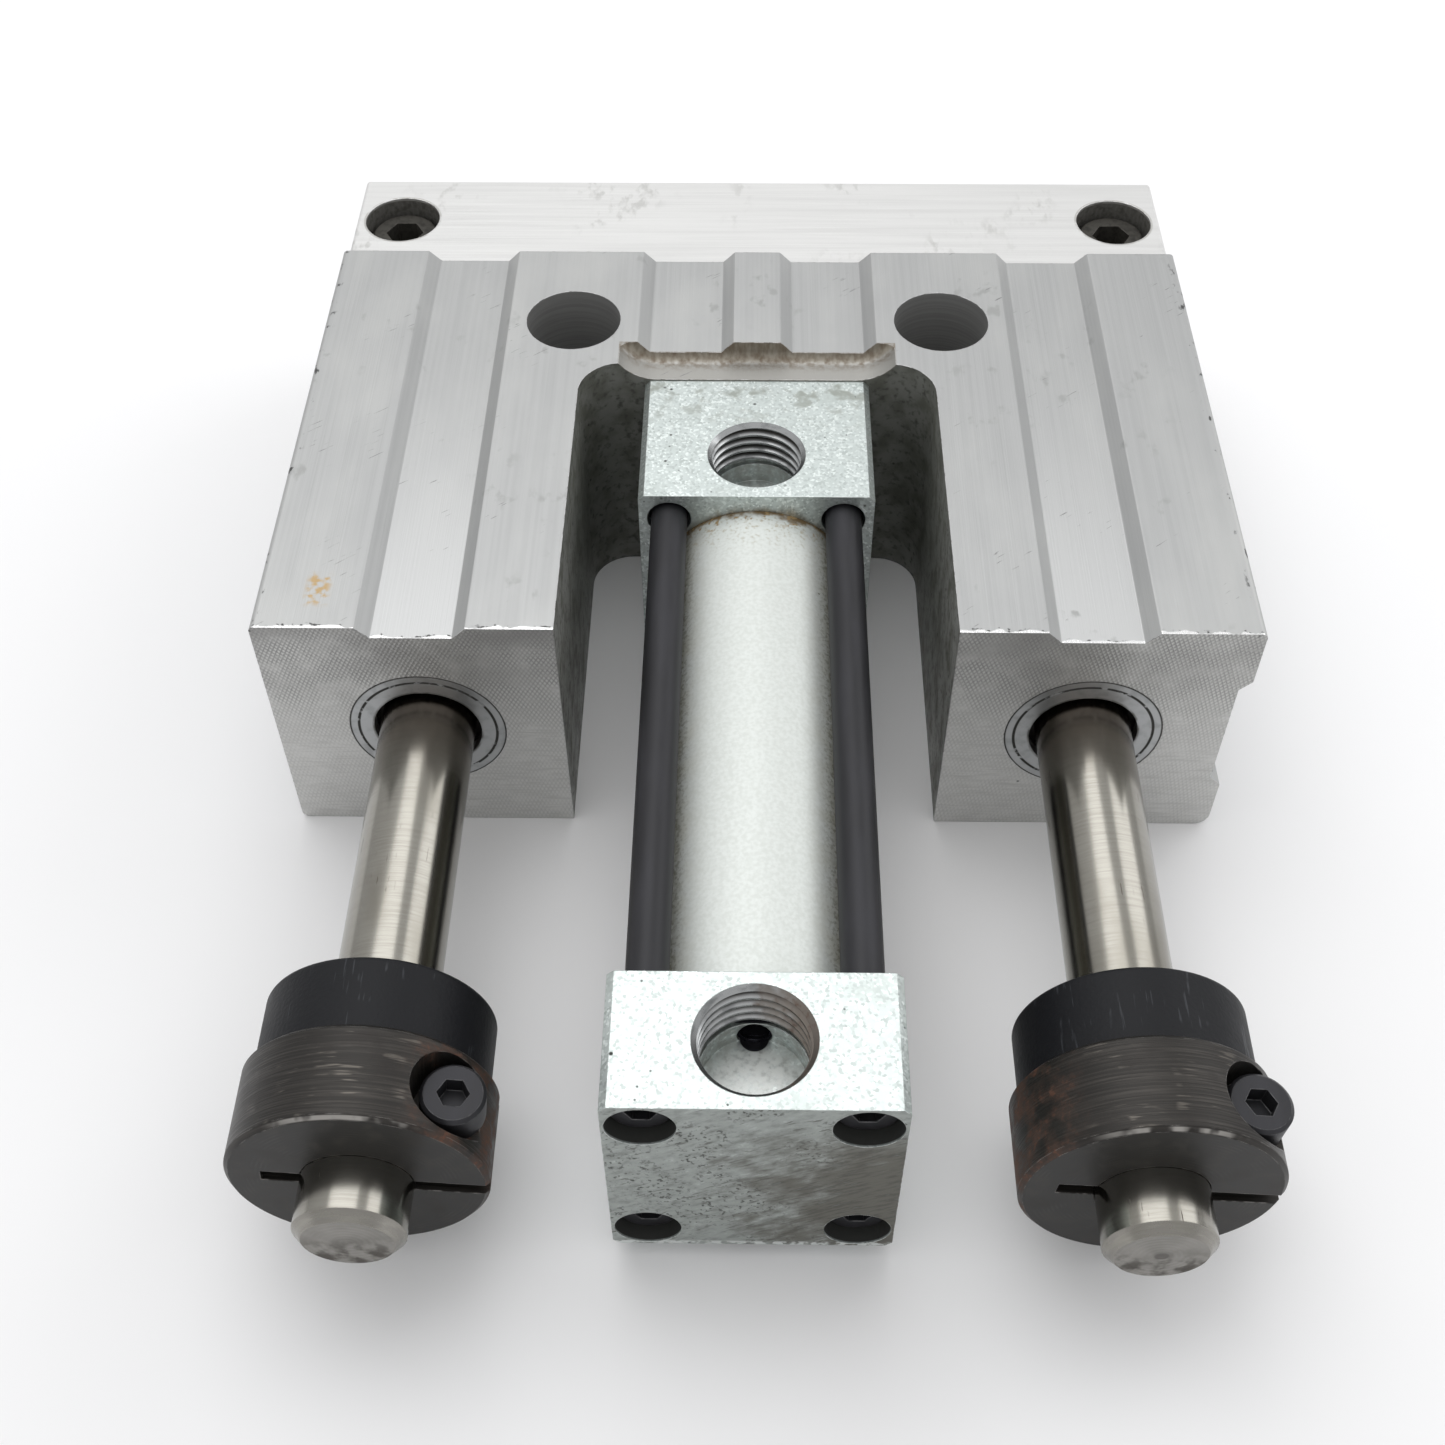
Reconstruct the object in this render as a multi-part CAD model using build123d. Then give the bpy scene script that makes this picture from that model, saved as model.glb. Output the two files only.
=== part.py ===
from build123d import *
import os
from math import sqrt

# Pneumatic guided slide: a small air cylinder in the slot of an extruded housing pushes a tool plate
# that rides on two shafts. Millimetres. +X right, +Y the way the tool plate travels, +Z up.
# The origin is midway between the two mounting holes, on the underside of the housing.

# Air cylinder
tube_bore = 22.0
tube_wall = 2.0
tube_seat_depth = 0.7
tube_seal_thickness = 0.4
tube_seal_inset = 0.4
stroke = 42.6
rod_head_length = 23.7
head_edge_chamfer = 0.8
port_diameter = 13.16
port_drill_diameter = 11.7
port_thread_depth = 6.9
port_floor_wall = 0.65
cap_port_wall = 1.42
rod_port_wall = 1.82
air_hole_diameter = 3.86
air_hole_above_floor = 1.05
air_hole_overrun = 1.9
cushion_thickness = 2.0
cushion_wall = 1.8

# Tie bolts
tie_bolt_diameter = 4.8
tie_bolt_gap = 0.93
tie_bolt_edge = 4.05
tie_bolt_head_diameter = 7.0
tie_bolt_head_height = 4.8
tie_bolt_socket = 3.0
tie_bolt_counterbore_diameter = 7.4
tie_bolt_counterbore_depth = 6.5
tie_bolt_engagement = 12.0
tie_bolt_hole_diameter = 5.8

# Piston and rod
rod_diameter = 8.0
rod_stub_diameter = 6.0
rod_passage_gap = 1.0
rod_tapped_depth = 14.0
rod_seal_from_port = 8.4
rod_seal_thickness = 3.5
rod_bushing_wall = 3.0
rod_bushing_length = 12.9
piston_length = 22.0
piston_front_gap = 1.5
piston_rear_gap = 2.9
piston_seal_width = 3.0
piston_seal_depth = 1.7
piston_seal_inset = 4.0
piston_magnet_width = 4.0
piston_magnet_depth = 2.2
piston_nut_flats = 10.0
piston_nut_height = 4.5
piston_nut_sink = 0.5
piston_nut_pocket_diameter = 12.4

# Housing: the slot clears the cylinder heads, and each leg holds two bearings
slot_gap = 8.8
leg_width = 36.85
head_cover = 3.05
housing_depth = 76.6
bridge_depth = 25.9
slot_corner_radius = 6.0
mount_hole_setback = 16.3
mount_hole_spacing = 52.0
mount_hole_diameter = 9.0
mount_counterbore_diameter = 13.3
mount_counterbore_depth = 13.0
groove_floor_width = 10.0
groove_depth = 1.7
centre_groove_offset = 10.0
side_groove_floor_width = 17.2
side_groove_depth = 1.5
groove_edge_radius = 0.25
top_edge_radius = 0.7
bottom_left_radius = 1.0
bottom_right_radius = 2.0
relief_floor_length = 27.6
relief_end_radius = 6.5
relief_depth = 2.85
relief_width = 4.6
relief_wall_radius = 1.4

# Guide shafts and their bearings
shaft_diameter = 12.0
shaft_from_side = 19.45
shaft_tip_left = 6.85
shaft_tip_right = 6.93
shaft_tip_chamfer = 1.1
shaft_rear_inset = 0.6
bearing_thickness = 4.0
bearing_length = 28.0
bearing_wall = 1.2
bearing_ring_gap = 0.85
bearing_ring_thickness = 1.6
bearing_liner_recess = 3.2

# Tool plate
plate_overhang = 0.15
plate_thickness = 22.5
plate_height = 31.5
plate_gap = 0.3
plate_edge_chamfer = 0.4
plate_kerf = 1.6
pinch_screw_from_side = 7.0
pinch_screw_from_front = 12.0
pinch_screw_tip_inset = 1.0
pinch_counterbore_diameter = 11.3
pinch_head_sink = 2.4
tool_hole_spacing_x = 60.0
tool_hole_spacing_z = 16.0
tool_hole_depth = 14.0

# Stop collars and bumpers
collar_wall = 8.0
collar_width = 11.0
collar_chamfer = 0.5
collar_kerf = 1.9
collar_slit_length = 4.1
collar_screw_from_bore = 3.4
collar_screw_seat = 6.5
collar_screw_tip = 8.6
collar_pocket_diameter = 8.8
collar_turn_left = 7.0
collar_turn_right = 5.0
bumper_wall = 6.9
bumper_width = 8.9
bumper_edge_radius = 0.6
stop_spare_left = 0.05
stop_spare_right = 0.37

# Socket head screws: shank, head and key sizes, and the clearance hole
m4 = {"shank": 4.0, "head": 7.0, "height": 4.0, "key": 3.0, "hole": 4.4}
m5 = {"shank": 5.0, "head": 8.5, "height": 5.0, "key": 4.0, "hole": 5.5}
m6 = {"shank": 6.0, "head": 10.0, "height": 6.0, "key": 5.0, "hole": 6.6}
small_chamfer = 0.4
socket_depth_share = 0.55
rod_screw_engagement = 12.0
rod_screw_counterbore_diameter = 9.2
rod_screw_counterbore_depth = 5.6

# Clearances, all measured on the radius
seat_clearance = 0.02
thread_clearance = 0.02
running_clearance = 0.05
piston_clearance = 0.1
bumper_clearance = 0.3
rod_clearance = 0.75

# How far a cutting tool stands out past the face that it cuts
reach = 1.0

# Cylinder sizes that follow
tube_diameter = tube_bore + 2 * tube_wall
cap_head_length = port_diameter + 2 * cap_port_wall
tie_bolt_offset = (tube_diameter / 2 + tie_bolt_gap + tie_bolt_diameter / 2) / sqrt(2)
head_size = 2 * (tie_bolt_offset + tie_bolt_edge)
tube_visible_length = stroke + piston_length + piston_front_gap + piston_rear_gap + 2 * cushion_thickness
rod_passage_diameter = rod_diameter + 2 * rod_passage_gap
port_floor_rise = rod_passage_diameter / 2 + port_floor_wall
port_depth = head_size / 2 - port_floor_rise
air_hole_rise = port_floor_rise + air_hole_above_floor
rod_bushing_diameter = rod_diameter + 2 * rod_bushing_wall

# Housing, shaft and collar sizes that follow
slot_width = head_size + 2 * slot_gap
housing_width = slot_width + 2 * leg_width
housing_height = head_size + 2 * head_cover
shaft_x = housing_width / 2 - shaft_from_side
axis_z = housing_height / 2
bearing_diameter = shaft_diameter + 2 * bearing_thickness
collar_diameter = shaft_diameter + 2 * collar_wall
collar_screw_offset = shaft_diameter / 2 + collar_screw_from_bore
bumper_diameter = shaft_diameter + 2 * bumper_wall
plate_width = housing_width + 2 * plate_overhang
pinch_x = plate_width / 2 - pinch_screw_from_side
plate_top_z = axis_z + plate_height / 2
head_top_z = axis_z + head_size / 2

# Places along Y
back_y = mount_hole_setback
front_y = back_y - housing_depth
slot_back_y = back_y - bridge_depth
rod_head_front_y = slot_back_y - rod_head_length
cap_head_back_y = rod_head_front_y - tube_visible_length
cap_head_front_y = cap_head_back_y - cap_head_length
cap_port_y = cap_head_back_y - cap_port_wall - port_diameter / 2
rod_port_y = rod_head_front_y + rod_port_wall + port_diameter / 2
rod_seal_y = rod_port_y + rod_seal_from_port
rod_bushing_y = rod_seal_y + rod_seal_thickness
piston_front_y = cap_head_back_y + cushion_thickness + piston_front_gap
piston_back_y = piston_front_y + piston_length
plate_front_y = back_y + plate_gap
plate_back_y = plate_front_y + plate_thickness
plate_middle_y = (plate_front_y + plate_back_y) / 2
pinch_y = plate_front_y + pinch_screw_from_front

sides = {
    "left": {"x": -shaft_x, "spare": stop_spare_left, "tip": shaft_tip_left, "turn": collar_turn_left},
    "right": {"x": shaft_x, "spare": stop_spare_right, "tip": shaft_tip_right, "turn": collar_turn_right},
}


def bar_y(diameter, y_from, y_to, x=0.0, z=axis_z):
    """Round bar along Y."""
    return Pos(x, (y_from + y_to) / 2, z) * Rot(90, 0, 0) * Cylinder(diameter / 2, y_to - y_from)


def bar_z(diameter, z_from, z_to, x=0.0, y=0.0):
    """Round bar along Z."""
    return Pos(x, y, (z_from + z_to) / 2) * Cylinder(diameter / 2, z_to - z_from)


def ring_y(outer, inner, y_from, y_to, x=0.0, z=axis_z):
    """Round ring along Y, given by its two diameters."""
    return bar_y(outer, y_from, y_to, x, z) - bar_y(inner, y_from - reach, y_to + reach, x, z)


def block(x_from, x_to, y_from, y_to, z_from, z_to):
    """Rectangular block between two corners."""
    centre = Pos((x_from + x_to) / 2, (y_from + y_to) / 2, (z_from + z_to) / 2)
    return centre * Box(x_to - x_from, y_to - y_from, z_to - z_from)


def bolt_corners():
    """The four tie bolt positions, as X and Z."""
    for side_x in (-1, 1):
        for side_z in (-1, 1):
            yield side_x * tie_bolt_offset, axis_z + side_z * tie_bolt_offset


def socket_screw(shank, head, height, key, length):
    """Socket head screw standing on its tip: the head's seat is at Z 0 and its shank hangs below."""
    blank = Pos(0, 0, height / 2) * Cylinder(head / 2, height)
    blank = chamfer(blank.edges().group_by(Axis.Z)[-1], small_chamfer)
    blank += Pos(0, 0, -length / 2) * Cylinder(shank / 2, length)
    socket = extrude(RegularPolygon(key / 2, 6, major_radius=False), height * socket_depth_share + reach)
    return blank - Pos(0, 0, height * (1 - socket_depth_share)) * socket


def groove(centre, floor_width, depth):
    """Edge points of a groove with 45 degree flanks, as distance along the face and depth below it."""
    half = floor_width / 2
    return [
        (centre - half - depth, 0.0),
        (centre - half, depth),
        (centre + half, depth),
        (centre + half + depth, 0.0),
    ]


def housing_profile():
    """Extruded outline of the housing in X and Z, with a radius for each corner."""
    half = housing_width / 2
    corners = [(-half, 0.0, bottom_left_radius), (-half, housing_height, top_edge_radius)]
    for centre in (-shaft_x, -centre_groove_offset, centre_groove_offset, shaft_x):
        for along, depth in groove(centre, groove_floor_width, groove_depth):
            corners.append((along, housing_height - depth, groove_edge_radius))
    corners.append((half, housing_height, top_edge_radius))
    for along, depth in reversed(groove(axis_z, side_groove_floor_width, side_groove_depth)):
        corners.append((half - depth, along, groove_edge_radius))
    corners.append((half, 0.0, bottom_right_radius))
    points = [(x, z) for x, z, radius in corners]
    radii = [radius for x, z, radius in corners]
    return make_face(Plane.XZ.offset(-back_y) * FilletPolyline(*points, radius=radii, close=True))


def slot_tool():
    """Block that opens the U slot, with its two rear corners rounded."""
    half = slot_width / 2
    tool = block(-half, half, front_y - reach, slot_back_y, -reach, housing_height + reach)
    return fillet(tool.edges().filter_by(Axis.Z).group_by(Axis.Y)[-1], slot_corner_radius)


def relief_tool():
    """Shallow relief in the top of the slot's back wall, with ends that run out on a radius."""
    centre_z = housing_height - relief_depth + relief_end_radius
    outline = SlotCenterToCenter(relief_floor_length, 2 * relief_end_radius)
    plane = Plane.XZ.offset(-slot_back_y - relief_width) * Pos(0, centre_z)
    tool = extrude(plane * outline, relief_width + reach)
    return fillet(tool.edges().group_by(Axis.Y)[-1], relief_wall_radius)


def make_housing():
    body = extrude(housing_profile(), housing_depth, dir=(0, -1, 0))
    body -= slot_tool()
    body -= relief_tool()
    for x in (-mount_hole_spacing / 2, mount_hole_spacing / 2):
        body -= bar_z(mount_hole_diameter, -reach, housing_height + reach, x)
        body -= bar_z(
            mount_counterbore_diameter,
            housing_height - mount_counterbore_depth,
            housing_height + reach,
            x,
        )
    bore = bearing_diameter + 2 * seat_clearance
    for x in (-shaft_x, shaft_x):
        body -= bar_y(bore, front_y - reach, back_y + reach, x)
    tapped = tie_bolt_diameter + 2 * thread_clearance
    for x, z in bolt_corners():
        body -= bar_y(tapped, slot_back_y - reach, slot_back_y + tie_bolt_engagement + reach, x, z)
    pilot_end = rod_bushing_y + rod_bushing_length
    body -= bar_y(rod_bushing_diameter + 2 * seat_clearance, slot_back_y - reach, pilot_end)
    body -= bar_y(rod_diameter + 2 * rod_clearance, pilot_end - reach, back_y + reach)
    return body


def bearing_pieces(x, face_y, inward):
    """Shell, end ring and liner of one bearing whose open end is at face_y; inward is +1 or -1."""
    def between(near, far):
        return sorted((face_y + inward * near, face_y + inward * far))

    shell_bore = bearing_diameter - 2 * bearing_wall
    insert = shell_bore - 2 * seat_clearance
    shell = ring_y(bearing_diameter, shell_bore, *between(0, bearing_length), x)
    ring_bore = shaft_diameter + 2 * bearing_ring_gap
    end_ring = ring_y(insert, ring_bore, *between(0, bearing_ring_thickness), x)
    liner_bore = shaft_diameter + 2 * running_clearance
    liner = ring_y(insert, liner_bore, *between(bearing_liner_recess, bearing_length), x)
    spacer_bore = shell_bore - 2 * bearing_wall
    spacer = ring_y(insert, spacer_bore, *between(bearing_ring_thickness, bearing_liner_recess), x)
    return {"bearing_shell": shell, "bearing_ring": end_ring, "bearing_liner": liner + spacer}


def air_passage(port_y, tube_face_y):
    """Round-ended hole from the tube side of a head into the low end of its port, past the wall."""
    toward = 1 if tube_face_y > port_y else -1
    ball_y = port_y + toward * (port_drill_diameter / 2 - air_hole_overrun + air_hole_diameter / 2)
    low, high = sorted((ball_y, tube_face_y + toward * reach))
    hole = bar_y(air_hole_diameter, low, high, 0, axis_z + air_hole_rise)
    return hole + Pos(0, ball_y, axis_z + air_hole_rise) * Sphere(air_hole_diameter / 2)


def make_head(front, back, port_y, tube_face_y):
    """Square cylinder head: a port tapped in its top, its air passage, and holes for the tie bolts."""
    half = head_size / 2
    head = block(-half, half, front, back, axis_z - half, axis_z + half)
    head = chamfer(head.edges().filter_by(Axis.Y), head_edge_chamfer)
    for x, z in bolt_corners():
        head -= bar_y(tie_bolt_hole_diameter, front - reach, back + reach, x, z)
    head -= bar_z(port_diameter, head_top_z - port_thread_depth, head_top_z + reach, 0, port_y)
    head -= bar_z(port_drill_diameter, head_top_z - port_depth, head_top_z + reach, 0, port_y)
    return head - air_passage(port_y, tube_face_y)


def tube_seat(face_y, inward):
    """Ring-shaped seat in a head for the end of the tube and its seal."""
    depth = tube_seat_depth + tube_seal_thickness
    low, high = sorted((face_y - inward * reach, face_y + inward * depth))
    return ring_y(tube_diameter + 2 * seat_clearance, tube_bore - 2 * seat_clearance, low, high)


def make_cap_end_head():
    head = make_head(cap_head_front_y, cap_head_back_y, cap_port_y, cap_head_back_y)
    head -= tube_seat(cap_head_back_y, -1)
    for x, z in bolt_corners():
        counterbore_end = cap_head_front_y + tie_bolt_counterbore_depth
        head -= bar_y(tie_bolt_counterbore_diameter, cap_head_front_y - reach, counterbore_end, x, z)
    return head


def make_rod_end_head():
    head = make_head(rod_head_front_y, slot_back_y, rod_port_y, rod_head_front_y)
    head -= tube_seat(rod_head_front_y, 1)
    head -= bar_y(rod_passage_diameter, rod_head_front_y - reach, rod_seal_y + reach)
    head -= bar_y(rod_bushing_diameter + 2 * seat_clearance, rod_seal_y, slot_back_y + reach)
    return head


def make_tie_bolts():
    """Four long socket head bolts, from the front head into the housing."""
    seat_y = cap_head_front_y + tie_bolt_counterbore_depth
    length = slot_back_y + tie_bolt_engagement - seat_y
    screw = socket_screw(
        tie_bolt_diameter, tie_bolt_head_diameter, tie_bolt_head_height, tie_bolt_socket, length
    )
    return [Pos(x, seat_y, z) * Rot(90, 0, 0) * screw for x, z in bolt_corners()]


def make_tube():
    low = cap_head_back_y - tube_seat_depth
    high = rod_head_front_y + tube_seat_depth
    return ring_y(tube_diameter, tube_bore, low, high)


def tube_seal(seat_y, inward):
    low, high = sorted((seat_y, seat_y + inward * tube_seal_thickness))
    return ring_y(tube_diameter - tube_seal_inset, tube_bore + tube_seal_inset, low, high)


def cushion_pad(face_y, inward):
    low, high = sorted((face_y, face_y + inward * cushion_thickness))
    outer = tube_bore - 2 * bumper_clearance
    return ring_y(outer, outer - 2 * cushion_wall, low, high)


def rod_seal():
    return ring_y(rod_bushing_diameter, rod_diameter + 2 * running_clearance, rod_seal_y, rod_bushing_y)


def rod_bushing():
    bore = rod_diameter + 2 * running_clearance
    return ring_y(rod_bushing_diameter, bore, rod_bushing_y, rod_bushing_y + rod_bushing_length)


def piston_groove(centre_y, width, depth):
    """Ring-shaped groove around the piston; the ring that fills it uses the same numbers."""
    outer = tube_bore - 2 * piston_clearance
    return ring_y(outer + 2 * reach, outer - 2 * depth, centre_y - width / 2, centre_y + width / 2)


def piston_ring(centre_y, width, depth, outer):
    inner = tube_bore - 2 * piston_clearance - 2 * depth
    return ring_y(outer, inner, centre_y - width / 2, centre_y + width / 2)


def seal_places():
    half = piston_seal_inset + piston_seal_width / 2
    return piston_front_y + half, piston_back_y - half


def make_piston():
    body = bar_y(tube_bore - 2 * piston_clearance, piston_front_y, piston_back_y)
    body = chamfer(body.edges(), small_chamfer)
    pocket_end = piston_front_y + piston_nut_sink + piston_nut_height
    body -= bar_y(piston_nut_pocket_diameter, piston_front_y - reach, pocket_end)
    body -= bar_y(rod_stub_diameter + 2 * seat_clearance, piston_front_y, piston_back_y + reach)
    for centre_y in seal_places():
        body -= piston_groove(centre_y, piston_seal_width, piston_seal_depth)
    middle = (piston_front_y + piston_back_y) / 2
    body -= piston_groove(middle, piston_magnet_width, piston_magnet_depth)
    return body


def make_piston_seals():
    outer = tube_bore - piston_clearance
    return [piston_ring(y, piston_seal_width, piston_seal_depth, outer) for y in seal_places()]


def make_piston_magnet():
    middle = (piston_front_y + piston_back_y) / 2
    outer = tube_bore - 2 * piston_clearance - 2 * seat_clearance
    return piston_ring(middle, piston_magnet_width, piston_magnet_depth, outer)


def make_piston_nut():
    front = piston_front_y + piston_nut_sink
    flats = RegularPolygon(piston_nut_flats / 2, 6, major_radius=False)
    nut = extrude(Plane.XZ.offset(-front - piston_nut_height) * Pos(0, axis_z) * flats, piston_nut_height)
    thread = rod_stub_diameter + 2 * thread_clearance
    return nut - bar_y(thread, front - reach, front + piston_nut_height + reach)


def make_piston_rod():
    rod = bar_y(rod_diameter, piston_back_y, plate_front_y)
    rod += bar_y(rod_stub_diameter, piston_front_y + piston_nut_sink, piston_back_y)
    tapped = m5["shank"] + 2 * thread_clearance
    return rod - bar_y(tapped, plate_front_y - rod_tapped_depth, plate_front_y + reach)


def make_rod_screw():
    """Screw through the tool plate into the end of the piston rod, its head in the far face."""
    seat_y = plate_back_y - rod_screw_counterbore_depth
    length = seat_y - plate_front_y + rod_screw_engagement
    screw = socket_screw(m5["shank"], m5["head"], m5["height"], m5["key"], length)
    return Pos(0, seat_y, axis_z) * Rot(-90, 0, 0) * screw


def make_tool_plate():
    half_x = plate_width / 2
    half_z = plate_height / 2
    plate = block(-half_x, half_x, plate_front_y, plate_back_y, axis_z - half_z, axis_z + half_z)
    plate = chamfer(plate.edges(), plate_edge_chamfer)
    seat_z = plate_top_z - pinch_head_sink - m6["height"]
    for side in (-1, 1):
        x = side * shaft_x
        plate -= bar_y(shaft_diameter + 2 * seat_clearance, plate_front_y - reach, plate_back_y + reach, x)
        kerf_middle_x = (x + side * (half_x + reach)) / 2
        kerf = Box(half_x + reach - shaft_x, plate_thickness + 2 * reach, plate_kerf)
        plate -= Pos(kerf_middle_x, plate_middle_y, axis_z) * kerf
        screw_x = side * pinch_x
        plate -= bar_z(pinch_counterbore_diameter, seat_z, plate_top_z + reach, screw_x, pinch_y)
        plate -= bar_z(m6["hole"], axis_z, seat_z + reach, screw_x, pinch_y)
        tapped = m6["shank"] + 2 * thread_clearance
        plate -= bar_z(tapped, axis_z - half_z - reach, axis_z, screw_x, pinch_y)
    plate -= bar_y(m5["hole"], plate_front_y - reach, plate_back_y + reach)
    counterbore_y = plate_back_y - rod_screw_counterbore_depth
    plate -= bar_y(rod_screw_counterbore_diameter, counterbore_y, plate_back_y + reach)
    for x in (-tool_hole_spacing_x / 2, tool_hole_spacing_x / 2):
        for z in (-tool_hole_spacing_z / 2, tool_hole_spacing_z / 2):
            plate -= bar_y(m6["shank"], plate_back_y - tool_hole_depth, plate_back_y + reach, x, axis_z + z)
    return plate


def make_pinch_screws():
    """Two vertical screws that close the plate's kerfs on the shafts."""
    seat_z = plate_top_z - pinch_head_sink - m6["height"]
    length = seat_z - (axis_z - plate_height / 2) - pinch_screw_tip_inset
    screw = socket_screw(m6["shank"], m6["head"], m6["height"], m6["key"], length)
    return [Pos(x, pinch_y, seat_z) * screw for x in (-pinch_x, pinch_x)]


def bumper_back_y(side):
    """Rear face of a bumper: a stroke, and the little that is spare, in front of the housing."""
    return front_y - stroke - side["spare"]


def collar_front_y(side):
    return bumper_back_y(side) - bumper_width - collar_width


def make_shaft(side):
    tip_y = collar_front_y(side) - side["tip"]
    shaft = bar_y(shaft_diameter, tip_y, plate_back_y - shaft_rear_inset, side["x"])
    return chamfer(shaft.edges().group_by(Axis.Y)[0], shaft_tip_chamfer)


def place_collar(side, piece):
    """Turns a piece made about a vertical collar to its own clocking and carries it to its shaft."""
    return Pos(side["x"], collar_front_y(side) + collar_width / 2, axis_z) * Rot(0, side["turn"], 0) * piece


def make_collar(side):
    """One-piece clamp collar: split on the screw's side, slit part way on the other."""
    half = collar_width / 2
    collar = bar_y(collar_diameter, -half, half, 0, 0)
    collar = chamfer(collar.edges(), collar_chamfer)
    collar -= bar_y(shaft_diameter + 2 * running_clearance, -half - reach, half + reach, 0, 0)
    kerf = collar_kerf / 2
    collar -= block(0, collar_diameter, -half - reach, half + reach, -kerf, kerf)
    collar -= block(-shaft_diameter / 2 - collar_slit_length, 0, -half - reach, half + reach, -kerf, kerf)
    pocket_top = collar_diameter / 2 + reach
    collar -= bar_z(collar_pocket_diameter, collar_screw_seat, pocket_top, collar_screw_offset)
    collar -= bar_z(m4["hole"], 0, pocket_top, collar_screw_offset)
    collar -= bar_z(m4["shank"] + 2 * thread_clearance, -pocket_top, 0, collar_screw_offset)
    return place_collar(side, collar)


def make_collar_screw(side):
    length = collar_screw_seat + collar_screw_tip
    screw = socket_screw(m4["shank"], m4["head"], m4["height"], m4["key"], length)
    return place_collar(side, Pos(collar_screw_offset, 0, collar_screw_seat) * screw)


def make_bumper(side):
    """Rubber ring against the back of the collar."""
    back = bumper_back_y(side)
    ring = bar_y(bumper_diameter, back - bumper_width, back, side["x"])
    ring = fillet(ring.edges().group_by(Axis.Y)[-1], bumper_edge_radius)
    bore = shaft_diameter + 2 * bumper_clearance
    return ring - bar_y(bore, back - bumper_width - reach, back + reach, side["x"])


def build_pieces():
    """Every piece of the slide by its node name; a list is a group of equal pieces."""
    pieces = {
        "housing": make_housing(),
        "cap_end_head": make_cap_end_head(),
        "rod_end_head": make_rod_end_head(),
        "cylinder_tube": make_tube(),
        "tie_bolts": make_tie_bolts(),
        "tube_seal_front": tube_seal(cap_head_back_y - tube_seat_depth, -1),
        "tube_seal_rear": tube_seal(rod_head_front_y + tube_seat_depth, 1),
        "cushion_pad_front": cushion_pad(cap_head_back_y, 1),
        "cushion_pad_rear": cushion_pad(rod_head_front_y, -1),
        "rod_seal": rod_seal(),
        "rod_bushing": rod_bushing(),
        "piston": make_piston(),
        "piston_seals": make_piston_seals(),
        "piston_magnet": make_piston_magnet(),
        "piston_nut": make_piston_nut(),
        "piston_rod": make_piston_rod(),
        "rod_screw": make_rod_screw(),
        "tool_plate": make_tool_plate(),
        "plate_pinch_screws": make_pinch_screws(),
    }
    for name, side in sides.items():
        for kind, piece in bearing_pieces(side["x"], front_y, 1).items():
            pieces[f"{kind}_front_{name}"] = piece
        for kind, piece in bearing_pieces(side["x"], back_y, -1).items():
            pieces[f"{kind}_rear_{name}"] = piece
        pieces[f"guide_shaft_{name}"] = make_shaft(side)
        pieces[f"collar_{name}"] = make_collar(side)
        pieces[f"collar_screw_{name}"] = make_collar_screw(side)
        pieces[f"bumper_{name}"] = make_bumper(side)
    return pieces


os.makedirs("parts", exist_ok=True)
for node, piece in build_pieces().items():
    solid = Compound(children=piece) if isinstance(piece, list) else piece
    export_step(solid, f"parts/{node}.step")
    print(node, round(solid.volume, 1), "mm3")
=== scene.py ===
# %% [markdown]
# # A pneumatic guided slide
# The slide is a small air cylinder in the slot of an aluminium housing. It pushes a tool plate that
# rides on two steel shafts, and a clamp collar with a rubber bumper stops each shaft. The shapes come
# from the packed frame, so this script is about finish: cut, ground, plated, oxidised and worn metal.

# %% Load the packed parts
import math

import bpy
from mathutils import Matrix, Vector


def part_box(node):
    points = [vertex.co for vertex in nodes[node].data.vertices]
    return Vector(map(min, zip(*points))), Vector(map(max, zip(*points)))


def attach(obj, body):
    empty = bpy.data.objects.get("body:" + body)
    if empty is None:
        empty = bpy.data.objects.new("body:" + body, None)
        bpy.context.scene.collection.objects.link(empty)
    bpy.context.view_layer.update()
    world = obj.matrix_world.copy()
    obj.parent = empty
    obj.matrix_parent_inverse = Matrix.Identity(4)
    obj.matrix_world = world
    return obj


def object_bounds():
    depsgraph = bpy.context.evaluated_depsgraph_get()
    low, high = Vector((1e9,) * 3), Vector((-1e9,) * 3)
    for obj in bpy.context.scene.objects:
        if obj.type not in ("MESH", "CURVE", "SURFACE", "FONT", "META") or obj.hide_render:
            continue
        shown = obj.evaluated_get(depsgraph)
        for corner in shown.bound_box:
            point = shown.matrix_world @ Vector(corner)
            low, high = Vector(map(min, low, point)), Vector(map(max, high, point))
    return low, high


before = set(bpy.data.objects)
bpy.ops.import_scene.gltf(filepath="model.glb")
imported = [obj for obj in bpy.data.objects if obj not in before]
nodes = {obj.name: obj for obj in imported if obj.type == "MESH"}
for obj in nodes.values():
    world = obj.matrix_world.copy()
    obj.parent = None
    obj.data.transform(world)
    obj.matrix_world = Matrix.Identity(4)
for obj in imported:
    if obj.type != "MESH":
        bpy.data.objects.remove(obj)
cad_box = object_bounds()
MM = 0.001
print("nodes", len(nodes), "box in mm", [[round(n / MM, 1) for n in corner] for corner in cad_box])
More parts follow.
